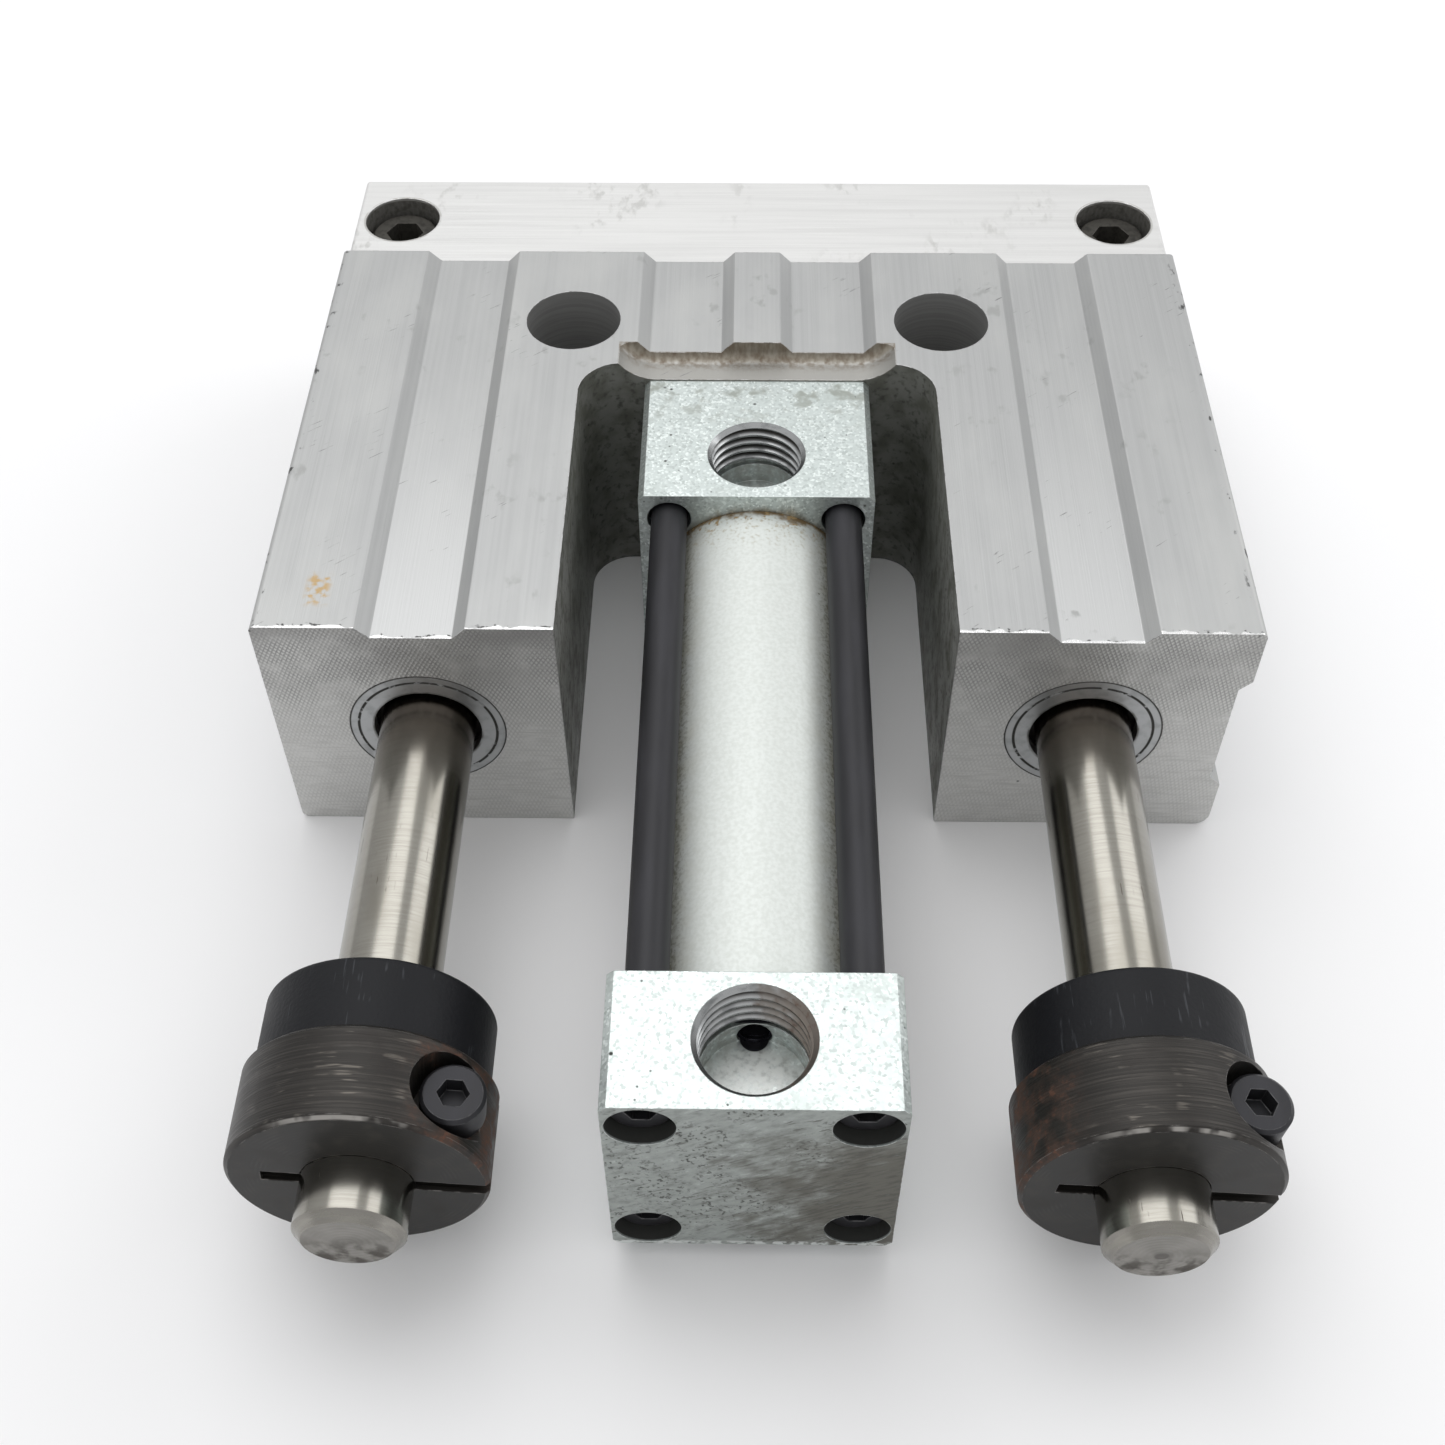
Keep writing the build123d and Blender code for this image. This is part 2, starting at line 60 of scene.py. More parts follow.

# %% [markdown]
# ## The camera
# The slide is looked at from in front and above, close enough that the near collars look larger than
# the tool plate. A normal lens a hand's reach away gives that. The camera is set with no shift and no
# depth of field, so every other view of the slide can reuse it.

# %% Set up the camera
camera_data = bpy.data.cameras.new("camera")
camera_data.lens = 44.755
camera_data.sensor_width = 36.0
camera_data.clip_start = 0.01
camera = bpy.data.objects.new("camera", camera_data)
camera.location = Vector((-1.237, -208.125, 194.309)) * MM
camera.rotation_euler = [math.radians(turn) for turn in (40.356, 0.268, 0.808)]
bpy.context.scene.collection.objects.link(camera)
bpy.context.scene.camera = camera
bpy.context.scene.view_settings.view_transform = "Standard"
print("camera at", [round(n, 3) for n in camera.location])

# %% [markdown]
# ## Node helpers
# Every finish below is a small graph of nodes. Adding a node always takes the same three steps: make
# it, set its options, and fill its inputs with numbers or links. One function does that. Colours are
# written as the hex values that a screen shows, and one function turns them to linear light.

# %% Helpers for colours and nodes
def linear(hex_colour):
    """A screen colour such as C0C0C0 as linear red, green, blue and alpha."""
    channels = [int(hex_colour[i:i + 2], 16) / 255 for i in (0, 2, 4)]
    return [c / 12.92 if c <= 0.04045 else ((c + 0.055) / 1.055) ** 2.4 for c in channels] + [1.0]


def add(tree, kind, inputs=None, **settings):
    """Adds one node, sets its options, and fills its inputs with values or links."""
    made = tree.nodes.new("ShaderNode" + kind)
    for name, value in settings.items():
        setattr(made, name, value)
    for name, value in (inputs or {}).items():
        if isinstance(value, bpy.types.NodeSocket):
            tree.links.new(value, made.inputs[name])
        else:
            made.inputs[name].default_value = value
    return made


print("a screen grey of 808080 is", round(linear("808080")[0], 3), "in linear light")

# %% [markdown]
# ## A finish and its layers
# A worn metal is one base with layers over it: stains, dust, scuffs, bright edges. Each layer has a
# mask from 0 to 1, a colour, a roughness and how metallic it is. The helper class below keeps the
# three channels together, so a layer is one line. A mask is mostly the product of simple tests, such
# as above this height and facing up, so one helper takes any number of tests and multiplies them.
#
# The positions are in millimetres, so every pattern is given in its real size. A bevel normal rounds
# the edges by a fraction of a millimetre, and the place where it leaves the true normal is where an
# edge catches the light and wears bright.

# %% The finish class
class Finish:
    """A metal, rubber or plastic with layers of colour, roughness and metallic over a base."""

    def __init__(self, name, colour, rough, metal, edge_radius=0.15, ior=None, gloss=0.5):
        self.material = bpy.data.materials.new(name)
        self.material.use_nodes = True
        self.tree = self.material.node_tree
        self.shader = self.tree.nodes["Principled BSDF"]
        if ior:
            self.shader.inputs["IOR"].default_value = ior
        self.shader.inputs["Specular IOR Level"].default_value = gloss
        self.channels = {"Base Color": linear(colour), "Roughness": rough, "Metallic": metal}
        coordinates = add(self.tree, "TexCoord").outputs["Object"]
        scaled = add(self.tree, "VectorMath", {0: coordinates, "Scale": 1 / MM}, operation="SCALE")
        self.place = scaled.outputs[0]
        self.x, self.y, self.z = add(self.tree, "SeparateXYZ", {0: self.place}).outputs
        geometry = add(self.tree, "NewGeometry")
        facing = add(self.tree, "SeparateXYZ", {0: geometry.outputs["Normal"]}).outputs
        self.normal_y, self.normal_z = facing["Y"], facing["Z"]
        self.aside = add(self.tree, "Math", {0: self.x}, operation="ABSOLUTE").outputs[0]
        self.endwise = add(self.tree, "Math", {0: self.normal_y}, operation="ABSOLUTE").outputs[0]
        bevel = add(self.tree, "Bevel", {"Radius": edge_radius * MM}, samples=6)
        self.normal = bevel.outputs[0]
        turned = add(self.tree, "VectorMath", {0: self.normal, 1: geometry.outputs["Normal"]},
                     operation="DOT_PRODUCT").outputs["Value"]
        self.edge = self.mask((turned, 0.985, 0.86))

    def mask(self, *tests):
        """1 where every test holds. A test is a ready mask, or a value and the two levels between
        which it goes smoothly from failing to holding."""
        result = None
        for test in tests:
            if isinstance(test, tuple):
                value, fails, holds = test
                levels = {"Value": value, "From Min": fails, "From Max": holds}
                test = add(self.tree, "MapRange", levels, interpolation_type="SMOOTHSTEP").outputs["Result"]
            if result is not None:
                test = add(self.tree, "Math", {0: result, 1: test}, operation="MULTIPLY").outputs[0]
            result = test
        return result

    def between(self, value, low, high, soft):
        """1 where the value lies between low and high, and 0 a little way outside."""
        return self.mask((value, low - soft, low), (value, high + soft, high))

    def raised(self, value, mask, by):
        """The value, raised by this much where the mask is 1: with a noise, a border is ragged."""
        return add(self.tree, "Math", {0: mask, 1: by, 2: value}, operation="MULTIPLY_ADD").outputs[0]

    def from_axis(self, first, first_middle, second, second_middle):
        """The distance in mm from an axis, given two coordinates and where the axis is on each."""
        flat = add(self.tree, "CombineXYZ", {0: first, 1: second}).outputs[0]
        middle = (first_middle, second_middle, 0.0)
        return add(self.tree, "VectorMath", {0: flat, 1: middle}, operation="DISTANCE").outputs["Value"]

    def rings(self, radius, step):
        """A wave from -1 to 1 that comes back every step in mm of the radius."""
        turns = add(self.tree, "Math", {0: radius, 1: 2 * math.pi / step}, operation="MULTIPLY")
        return add(self.tree, "Math", {0: turns.outputs[0]}, operation="SINE").outputs[0]

    def grain(self, size, low, high, stretch=(1, 1, 1), detail=2.0, offset=0.0):
        """Noise with lumps of this size in mm, cut between two levels; stretch makes it streaky."""
        scale = [1 / (size * along) for along in stretch]
        moved = add(self.tree, "Mapping", {"Vector": self.place, "Location": [offset] * 3, "Scale": scale})
        noise = add(self.tree, "TexNoise", {"Vector": moved.outputs[0], "Scale": 1.0, "Detail": detail})
        return self.mask((noise.outputs["Fac"], low, high))

    def spots(self, spacing, radius, share, stretch=(1, 1, 1), offset=0.0):
        """Round specks of about this radius in mm, in this share of the cells of a loose grid."""
        scale = [1 / (spacing * along) for along in stretch]
        moved = add(self.tree, "Mapping", {"Vector": self.place, "Location": [offset] * 3, "Scale": scale})
        cells = add(self.tree, "TexVoronoi", {"Vector": moved.outputs[0], "Scale": 1.0})
        speck = self.mask((cells.outputs["Distance"], radius / spacing, 0.4 * radius / spacing))
        red = add(self.tree, "SeparateColor", {0: cells.outputs["Color"]}).outputs[0]
        return self.mask(speck, (red, share + 0.02, share - 0.02))

    def layer(self, mask, colour=None, rough=None, metal=None):
        """Lays a colour, a roughness and a metallic value over the finish where the mask is 1."""
        if colour:
            mixed = add(self.tree, "Mix", {0: mask, 7: linear(colour)}, data_type="RGBA")
            self.put("Base Color", mixed.inputs[6])
            self.channels["Base Color"] = mixed.outputs[2]
        for name, value in (("Roughness", rough), ("Metallic", metal)):
            if value is not None:
                mixed = add(self.tree, "Mix", {0: mask, 3: value})
                self.put(name, mixed.inputs[2])
                self.channels[name] = mixed.outputs[0]

    def put(self, name, socket):
        """Sends a channel, a value or a link, to a socket."""
        if isinstance(self.channels[name], bpy.types.NodeSocket):
            self.tree.links.new(self.channels[name], socket)
        else:
            socket.default_value = self.channels[name]

    def relief(self, height, depth, strength=1.0):
        """Raises the surface by this depth in mm where the height is 1."""
        raised = add(self.tree, "Bump", {"Height": height, "Distance": depth * MM, "Strength": strength,
                                         "Normal": self.normal})
        self.normal = raised.outputs[0]

    def done(self):
        """Joins the channels to the shader and gives the material."""
        for name in self.channels:
            self.put(name, self.shader.inputs[name])
        self.tree.links.new(self.normal, self.shader.inputs["Normal"])
        return self.material


def coat(material, *names):
    """Gives these CAD nodes the material in every slot."""
    for name in names:
        mesh = nodes[name].data
        mesh.materials.clear()
        mesh.materials.append(material)


print("a finish has", ", ".join(name for name in vars(Finish) if not name.startswith("_")))

# %% [markdown]
# ## Floor and light
# The slide lies on white paper under a wide overhead light. The floor is a plain white sheet that is
# large enough to fill the view and keeps the soft shadow. The room is a pale dome, brighter above than
# at the horizon, and two large lamps give the metal its long soft highlights.

# %% Floor, dome and lamps
bpy.ops.object.select_all(action="DESELECT")
bpy.ops.mesh.primitive_plane_add(size=6.0, location=(0, 0, cad_box[0].z - 0.05 * MM))
floor = bpy.context.object
floor.name = "paper_floor"
paper = bpy.data.materials.new("white_paper")
paper.use_nodes = True
paper_shader = paper.node_tree.nodes["Principled BSDF"]
paper_shader.inputs["Base Color"].default_value = linear("F0F0F1")
paper_shader.inputs["Roughness"].default_value = 0.9
paper_shader.inputs["Specular IOR Level"].default_value = 0.1
floor.data.materials.append(paper)

world = bpy.data.worlds.new("pale_dome")
bpy.context.scene.world = world
world.use_nodes = True
sky = world.node_tree
background = sky.nodes["Background"]
direction = add(sky, "TexCoord").outputs["Generated"]
up = add(sky, "SeparateXYZ", {0: direction}).outputs["Z"]
height = add(sky, "MapRange", {"Value": up, "From Min": -0.1, "From Max": 0.9})
shade = add(sky, "Mix", {0: height.outputs["Result"], 6: linear("CBCBCB"), 7: linear("F3F3F3")},
            data_type="RGBA")
sky.links.new(shade.outputs[2], background.inputs["Color"])
background.inputs["Strength"].default_value = 1.0


def lamp(name, place, aim, size, power):
    """A square soft lamp; the place and the aim are in mm, the size in metres and the power in watts."""
    data = bpy.data.lights.new(name, "AREA")
    data.shape = "SQUARE"
    data.size = size
    data.energy = power
    made = bpy.data.objects.new(name, data)
    made.location = Vector(place) * MM
    made.rotation_euler = (Vector(aim) - Vector(place)).to_track_quat("-Z", "Y").to_euler()
    bpy.context.scene.collection.objects.link(made)
    return made


lamp("overhead_lamp", (-120, 160, 700), (0, -40, 0), 0.6, 1.9)
lamp("side_lamp", (520, 260, 420), (0, -40, 20), 0.4, 0.8)
print("floor at z", round(floor.location.z / MM, 2), "mm")

# %% [markdown]
# ## Extruded aluminium
# The housing is one length of extrusion. The die leaves fine straight lines along it, satin and a
# little cloudy, and an end mill leaves arcs on its cut ends. Years of handling add nicks, and
# the slot, which nobody wipes, is dark and mottled. The masks are simple tests of place and of the way
# a face looks: ends face along Y, the slot's walls lie inside its width, and so on.

# %% The housing's finish
housing_low, housing_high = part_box("housing")
top = housing_high.z / MM
front = housing_low.y / MM
back = housing_high.y / MM
half_width = housing_high.x / MM
rod_head_low, rod_head_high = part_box("rod_end_head")
slot_back = rod_head_high.y / MM

alu = Finish("extruded_aluminium", "B1B2B2", 0.48, 0.8)
flat_up = alu.mask((alu.normal_z, 0.9, 0.98))
facing_along = alu.mask((alu.endwise, 0.93, 0.99))
at_front = alu.mask((alu.y, front + 1.0, front + 0.5))
at_back = alu.mask((alu.y, slot_back + 20, back))
near_end = add(alu.tree, "Math", {0: at_front, 1: at_back}, operation="MAXIMUM").outputs[0]
cut_end = alu.mask(facing_along, near_end)
lengthwise = alu.mask((alu.endwise, 0.99, 0.93))
in_slot = alu.mask((alu.aside, 24.75, 24.5), (alu.y, slot_back + 0.5, slot_back + 0.2),
                   (alu.y, front + 0.1, front + 0.5), (alu.normal_z, 0.6, 0.3))

die_lines = alu.grain(0.55, 0.3, 0.75, stretch=(1, 120, 1), detail=3.0)
alu.layer(alu.mask(die_lines, lengthwise), "ABACAC", 0.49)
alu.layer(alu.mask(alu.grain(8.0, 0.35, 0.8, stretch=(1, 3, 1), detail=4.0), lengthwise), "B9BAB9", 0.45)
groove_floor = alu.mask(flat_up, (alu.z, top - 1.2, top - 1.5))
alu.layer(alu.mask(groove_floor, (alu.y, slot_back + 6.0, front)), "C0C1C1", 0.44)
handled = alu.grain(14.0, 0.5, 0.6, offset=2.0)
smudge = alu.mask(alu.grain(2.4, 0.60, 0.72, stretch=(1, 1.6, 1), detail=5.0), handled)
alu.layer(alu.mask(smudge, lengthwise), "A3A4A3", 0.52)
alu.relief(alu.mask(alu.grain(0.2, 0.3, 0.7, stretch=(1, 160, 1)), lengthwise), 0.008)
print("slot from y", round(front, 1), "to", round(slot_back, 1), "mm, top at z", round(top, 1), "mm")

# %% [markdown]
# The mill that faced the ends swept across them in wide arcs, once each way, and left a fine weave.
# Two sets of rings about far centres cross at a slant and give it. A real cutter's step is 0.1 mm,
# and 0.5 mm is the finest that shows here. The weave is plain above the bearings and fades below them.

# %% Mill marks on the cut ends
alu.layer(cut_end, "CFCFCD", 0.5, 0.7)
step = 0.5
strength = alu.raised(0.25, alu.mask((alu.z, 14.0, 32.0)), 0.75)
for centre_x, centre_z in ((-130.0, -40.0), (150.0, -70.0)):
    wave = alu.rings(alu.from_axis(alu.x, centre_x, alu.z, centre_z), step)
    alu.relief(alu.mask((wave, -1.0, 1.0), cut_end, strength), 0.016)
    alu.layer(alu.mask((wave, -0.2, 1.0), cut_end, strength, alu.grain(4.0, 0.2, 0.6)), "9C9C9B", 0.5)
alu.layer(alu.mask(cut_end, alu.grain(0.35, 0.4, 0.8, stretch=(9, 1, 1), detail=3.0)), "BCBCBA", 0.5)
alu.layer(alu.mask(cut_end, alu.spots(3.4, 0.3, 0.22)), "57585A", 0.6, 0.5)
upper_haze = alu.grain(7.0, 0.25, 0.85, stretch=(2, 1, 1))
alu.layer(alu.mask(cut_end, (alu.z, 22.0, top), upper_haze), "929190", 0.5)
print("mill marks every", step, "mm")

# %% [markdown]
# The slot's walls are painted darker as shade, and darker again towards the back, with mottled
# patches and specks of old oil and dust over that. The relief over the cylinder is stained brown,
# and the holes for the mounting screws are grey inside, with bore lines round them.

# %% Slot, relief and holes
deep_in_slot_shade = alu.mask((alu.y, front, slot_back - 12.0))
# painted shade: the slot's walls are darker, and darker again towards the back; the mottled layers and
# specks after them are oil and dust
alu.layer(in_slot, "9A9B98", 0.5, 0.5)
alu.layer(alu.mask(in_slot, deep_in_slot_shade), "83847F", 0.55, 0.4)
alu.layer(alu.mask(in_slot, alu.grain(3.2, 0.38, 0.7, detail=6.0)), "66675F", 0.6, 0.35)
alu.layer(alu.mask(in_slot, alu.grain(0.9, 0.5, 0.72, detail=5.0, offset=4.0)), "54554F", 0.6, 0.3)
alu.layer(alu.mask(in_slot, alu.spots(2.2, 0.28, 0.3)), "393833", 0.7, 0.3)
relief_half, relief_radius, relief_depth = 13.8, 6.5, 2.85
past_straight = add(alu.tree, "Math", {0: alu.aside, 1: relief_half}, operation="MAXIMUM").outputs[0]
relief_middle = top - relief_depth + relief_radius
relief_reach = alu.from_axis(past_straight, relief_half, alu.z, relief_middle)
relief_place = alu.mask((relief_reach, relief_radius + 0.12, relief_radius + 0.04),
                        alu.between(alu.y, slot_back - 0.1, slot_back + 4.65, 0.1))
relief_back = alu.mask(relief_place, (alu.normal_y, -0.2, -0.7))
alu.layer(relief_place, "A5A4A0", 0.46, 0.7)
alu.layer(relief_back, "9A9488", 0.5, 0.6)
rust_bloom = alu.mask(relief_place, alu.grain(0.7, 0.3, 0.75, stretch=(1, 1, 3), detail=6.0))
alu.layer(alu.mask(rust_bloom, (alu.y, slot_back + 1.2, slot_back + 4.2)), "75695A", 0.6, 0.4)
for hole_x in (-26.0, 26.0):
    radius = alu.from_axis(alu.x, hole_x, alu.y, 0.0)
    in_hole = alu.mask((radius, 6.85, 6.7), (alu.z, top - 0.05, top - 0.3))
    alu.layer(in_hole, "A4A4A3", 0.42, 0.6)
    bore_lines = alu.grain(0.3, 0.35, 0.7, stretch=(80, 80, 1))
    alu.layer(alu.mask(in_hole, bore_lines), "979796", 0.46, 0.6)
print("relief floor at z", round(top - relief_depth, 2), "mm")

# %% [markdown]
# Knocks and sharp burrs sit on the edges. A bright line along each edge comes from the bevel mask,
# broken by noise. The top front edge has the burr of the saw, drawn as a white line that is partly
# the burr and partly a painted highlight, and the two side edges have dark nicks.

# %% Edges, nicks, scratches and a stain
alu.layer(alu.mask(alu.edge, alu.grain(1.6, 0.38, 0.6)), "DCDCDD", 0.32, 0.9)
alu.layer(alu.mask(alu.edge, alu.grain(0.9, 0.56, 0.64, offset=5.0)), "4C4C4B", 0.6, 0.5)
ragged = alu.raised(alu.y, alu.grain(1.8, 0.2, 0.8, detail=4.0), 0.8)
# partly painted highlight: a white, glossy line along the top front edge, over the saw's burr
burr_and_painted_highlight = alu.mask((ragged, front + 0.85, front + 0.6), flat_up)
alu.layer(burr_and_painted_highlight, "F4F4F4", 0.25, 0.9)
alu.layer(alu.mask((ragged, front + 1.15, front + 0.95), (ragged, front + 0.7, front + 0.9), flat_up,
                   alu.grain(0.8, 0.56, 0.62, offset=9.0)), "4A4A49", 0.6, 0.5)
side_band = alu.mask((alu.aside, half_width - 1.6, half_width - 0.7), (alu.z, top - 2.2, top - 1.0))
side_nicks = alu.grain(1.1, 0.6, 0.68, stretch=(1, 2.0, 1), detail=4.0)
alu.layer(alu.mask(side_band, side_nicks), "4A4A4A", 0.6, 0.4)
turned_place = add(alu.tree, "Mapping", {"Vector": alu.place, "Rotation": (0, 0, math.radians(38)),
                                         "Scale": (3.6, 0.3, 1.0)}, vector_type="TEXTURE").outputs[0]
hair = add(alu.tree, "TexNoise", {"Vector": turned_place, "Scale": 1.0, "Detail": 3.0}).outputs["Fac"]
alu.layer(alu.mask((hair, 0.66, 0.7), flat_up, alu.grain(9.0, 0.57, 0.61, offset=3.0)), "8A8A8A", 0.55)
stain = alu.mask(alu.between(alu.x, -54.5, -53.0, 1.2), alu.between(alu.y, -55.5, -52.0, 1.6), flat_up)
alu.layer(alu.mask(stain, alu.grain(1.2, 0.42, 0.62, detail=3.0)), "B59C74", 0.5, 0.6)
coat(alu.done(), "housing")
print("housing finish has", len(alu.tree.nodes), "nodes")

# %% [markdown]
# ## Machined aluminium
# The tool plate is milled from bright flat bar. It is nearly white with a few grey smudges where
# hands and a vice have held it.

# %% The tool plate's finish
plate = Finish("machined_aluminium", "DFDFDE", 0.45, 0.75, edge_radius=0.25)
plate.layer(plate.grain(1.1, 0.35, 0.75, stretch=(30, 1, 30), detail=3.0), "D9D9D8", 0.41)
by_hand = plate.grain(16.0, 0.5, 0.62, offset=11.0)
plate.layer(plate.mask(plate.grain(1.6, 0.5, 0.68, stretch=(1, 2.0, 1), detail=6.0), by_hand), "C5C5C3", 0.5)
plate.layer(plate.spots(9.0, 0.35, 0.2), "6C6C6D", 0.6, 0.4)
plate.relief(plate.grain(0.3, 0.3, 0.7, stretch=(60, 1, 60)), 0.008)
plate_low, plate_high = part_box("tool_plate")
print("plate is", round((plate_high.y - plate_low.y) / MM, 1), "mm thick")
screw_low, screw_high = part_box("plate_pinch_screws")
screw_radius = 5.0
pinch_x = screw_high.x / MM - screw_radius
pinch_y = (screw_low.y + screw_high.y) / 2 / MM
radius = plate.from_axis(plate.aside, pinch_x, plate.y, pinch_y)
in_hole = plate.mask((radius, 5.8, 5.6), (plate.z, plate_high.z / MM - 0.1, plate_high.z / MM - 0.3))
# painted shade: the hole walls above the pinch screws are dark, with darker blotches
plate.layer(in_hole, "6A6862", 0.5, 0.6)
plate.layer(plate.mask(in_hole, plate.grain(1.0, 0.4, 0.7, detail=5.0)), "4B4944", 0.65, 0.3)
mouth = plate.mask((radius, 6.05, 5.8), (plate.z, plate_high.z / MM - 0.5, plate_high.z / MM - 0.3))
plate.layer(plate.mask(mouth, plate.grain(2.0, 0.3, 0.5)), "BDBCB8", 0.35)
plate.layer(plate.mask(plate.edge, plate.grain(1.5, 0.3, 0.6)), "F2F2F2", 0.3)
coat(plate.done(), "tool_plate")

# %% [markdown]
# ## Zinc plated heads
# The two square heads are blocks of steel with a bright coat of zinc. Zinc grows in small crystals, so
# the light sparkles in grains. They are drawn a third of a millimetre wide, which is coarser than real
# ones and about as fine as shows here. Dirt sits in small dark pits all over.

# %% The cylinder heads' finish
cap_low, cap_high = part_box("cap_end_head")
cap_front = cap_low.y / MM
head_top = cap_high.z / MM
middle_z = (cap_low.z + cap_high.z) / 2 / MM
zinc = Finish("zinc_plate", "C6CECC", 0.38, 0.85, edge_radius=0.15)
flakes = add(zinc.tree, "Mapping", {"Vector": zinc.place, "Scale": [1 / 0.32] * 3})
cells = add(zinc.tree, "TexVoronoi", {"Vector": flakes.outputs[0], "Scale": 1.0})
flake = add(zinc.tree, "SeparateColor", {0: cells.outputs["Color"]}).outputs
zinc.layer(zinc.mask((flake[0], 0.55, 0.95)), "E4EBE9", 0.30)
zinc.layer(zinc.mask((flake[1], 0.6, 1.0)), "B1B9B7", 0.43)
zinc.relief(flake[2], 0.006)
zinc.layer(zinc.grain(5.0, 0.5, 0.8, detail=4.0), "B9C1BE", 0.42)
zinc.layer(zinc.mask((zinc.y, slot_back - 13.0, slot_back - 2.0), zinc.grain(2.2, 0.5, 0.68, detail=5.0)),
           "9A9F99", 0.5, 0.6)
zinc.layer(zinc.spots(1.5, 0.2, 0.22), "6B716F", 0.6, 0.5)
near_sides = zinc.mask((zinc.aside, 9.5, 11.0))
zinc.layer(zinc.mask(zinc.spots(2.6, 0.3, 0.3, offset=7.7), near_sides), "3B3D3A", 0.7, 0.3)
pits = zinc.mask(zinc.spots(3.2, 0.36, 0.30, offset=3.1), zinc.grain(5.0, 0.42, 0.5))
zinc.layer(pits, "3F413F", 0.7, 0.3)
print("heads are", round(2 * cap_high.x / MM, 1), "mm wide, middle at z", round(middle_z, 2), "mm")

# %% [markdown]
# The front face has been handled and scraped. It is duller than the top and painted darker as shade,
# with fine slanting scratches and dark specks, and an oily brown-grey bloom that spreads over its
# lower right.

# %% The front face of the cap end head
zinc_front = zinc.mask((zinc.normal_y, -0.8, -0.95), (zinc.y, cap_front + 1.0, cap_front + 0.3))
# painted shade: the whole front face is darker than the top; its higher roughness is the duller handled
# finish
zinc.layer(zinc_front, "A0A5A2", 0.46, 0.75)
scrape = add(zinc.tree, "Mapping", {"Vector": zinc.place, "Rotation": (0, math.radians(-28), 0),
                                    "Scale": (2.6, 1.2, 1.2)}, vector_type="TEXTURE").outputs[0]
scraped = add(zinc.tree, "TexNoise", {"Vector": scrape, "Scale": 1.0, "Detail": 7.0,
                                      "Roughness": 0.66}).outputs["Fac"]
zinc.layer(zinc.mask(zinc_front, (scraped, 0.44, 0.7)), "848985", 0.52, 0.6)
zinc.layer(zinc.mask(zinc_front, (scraped, 0.44, 0.3)), "B5BBB8", 0.4, 0.8)
speckled = zinc.grain(0.5, 0.55, 0.66, detail=6.0)
zinc.layer(zinc.mask(zinc_front, speckled, zinc.grain(5.0, 0.36, 0.6, offset=6.0)), "50524F", 0.65, 0.3)
patchy = zinc.raised(zinc.x, zinc.grain(6.0, 0.2, 0.8, detail=5.0, offset=1.5), 13.0)
from_left = zinc.raised(patchy, scraped, 16.0)
bloom = zinc.mask(zinc_front, (from_left, 9.0, 25.0), (zinc.z, head_top - 2.0, head_top - 10.0))
zinc.layer(bloom, "64635C", 0.58, 0.45)
strokes = add(zinc.tree, "Mapping", {"Vector": zinc.place, "Rotation": (0, math.radians(-28), 0),
                                     "Scale": (2.4, 0.4, 0.4)}, vector_type="TEXTURE").outputs[0]
stroke = add(zinc.tree, "TexNoise", {"Vector": strokes, "Scale": 1.0, "Detail": 5.0}).outputs["Fac"]
zinc.layer(zinc.mask(bloom, (stroke, 0.45, 0.68)), "4F4E48", 0.65, 0.3)
zinc.layer(zinc.mask(zinc_front, (stroke, 0.62, 0.7)), "6A6C68", 0.55, 0.5)
zinc.layer(zinc.mask(zinc_front, (zinc.z, cap_low.z / MM + 1.1, cap_low.z / MM + 0.5),
                     zinc.grain(1.2, 0.4, 0.55)), "D9DDDB", 0.35, 0.9)

# %% [markdown]
# The four counterbores and the air passage are painted dark inside as shade, and so is the hole
# below each port's floor; the floor itself is painted bright as a pool of light. The ports' threads
# keep a bright turned finish, with a rusty tint in the cap end port where water has stood.

# %% Counterbores, passages and port walls
bolt_low, bolt_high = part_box("tie_bolts")
print("tie bolts are", round((bolt_high.y - bolt_low.y) / MM, 1), "mm long")
head_radius = 3.5
bolt_offset = bolt_high.x / MM - head_radius
for bolt_z in (middle_z - bolt_offset, middle_z + bolt_offset):
    bolt_radius = zinc.from_axis(zinc.aside, bolt_offset, zinc.z, bolt_z)
    sunk = zinc.between(zinc.y, cap_front + 0.3, cap_front + 8.0, 0.2)
    # painted shade: the inside of each counterbore is dark
    zinc.layer(zinc.mask((bolt_radius, 3.8, 3.72), sunk), "3B3C3A", 0.6, 0.4)
port_places = []
for name, port_inset in (("cap_end_head", 8.0), ("rod_end_head", 15.3)):
    low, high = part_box(name)
    port_y = high.y / MM - port_inset
    port_places.append(port_y)
    port_radius = zinc.from_axis(zinc.x, 0.0, zinc.y, port_y)
    in_port = zinc.mask((port_radius, 6.66, 6.5), (zinc.z, head_top - 0.02, head_top - 0.2))
    zinc.layer(zinc.mask(in_port, zinc.grain(1.2, 0.3, 0.7, detail=4.0)), "A9ACA8", 0.36, 0.85)
    on_floor = zinc.mask(in_port, (zinc.z, head_top - 9.5, head_top - 9.7))
    # painted light: the port's floor is bright and speckled, brightest in the middle
    painted_light_on_floor = zinc.mask(on_floor, (port_radius, 6.2, 3.5), zinc.grain(0.7, 0.2, 0.6, detail=5.0))
    zinc.layer(painted_light_on_floor, "EEF2EF", 0.4, 0.35)
    # painted shade: the hole below the port's floor is dark
    painted_shade_below_floor = zinc.mask(in_port, (zinc.z, head_top - 9.95, head_top - 10.1))
    zinc.layer(painted_shade_below_floor, "3A3A3E", 0.4, 0.6)
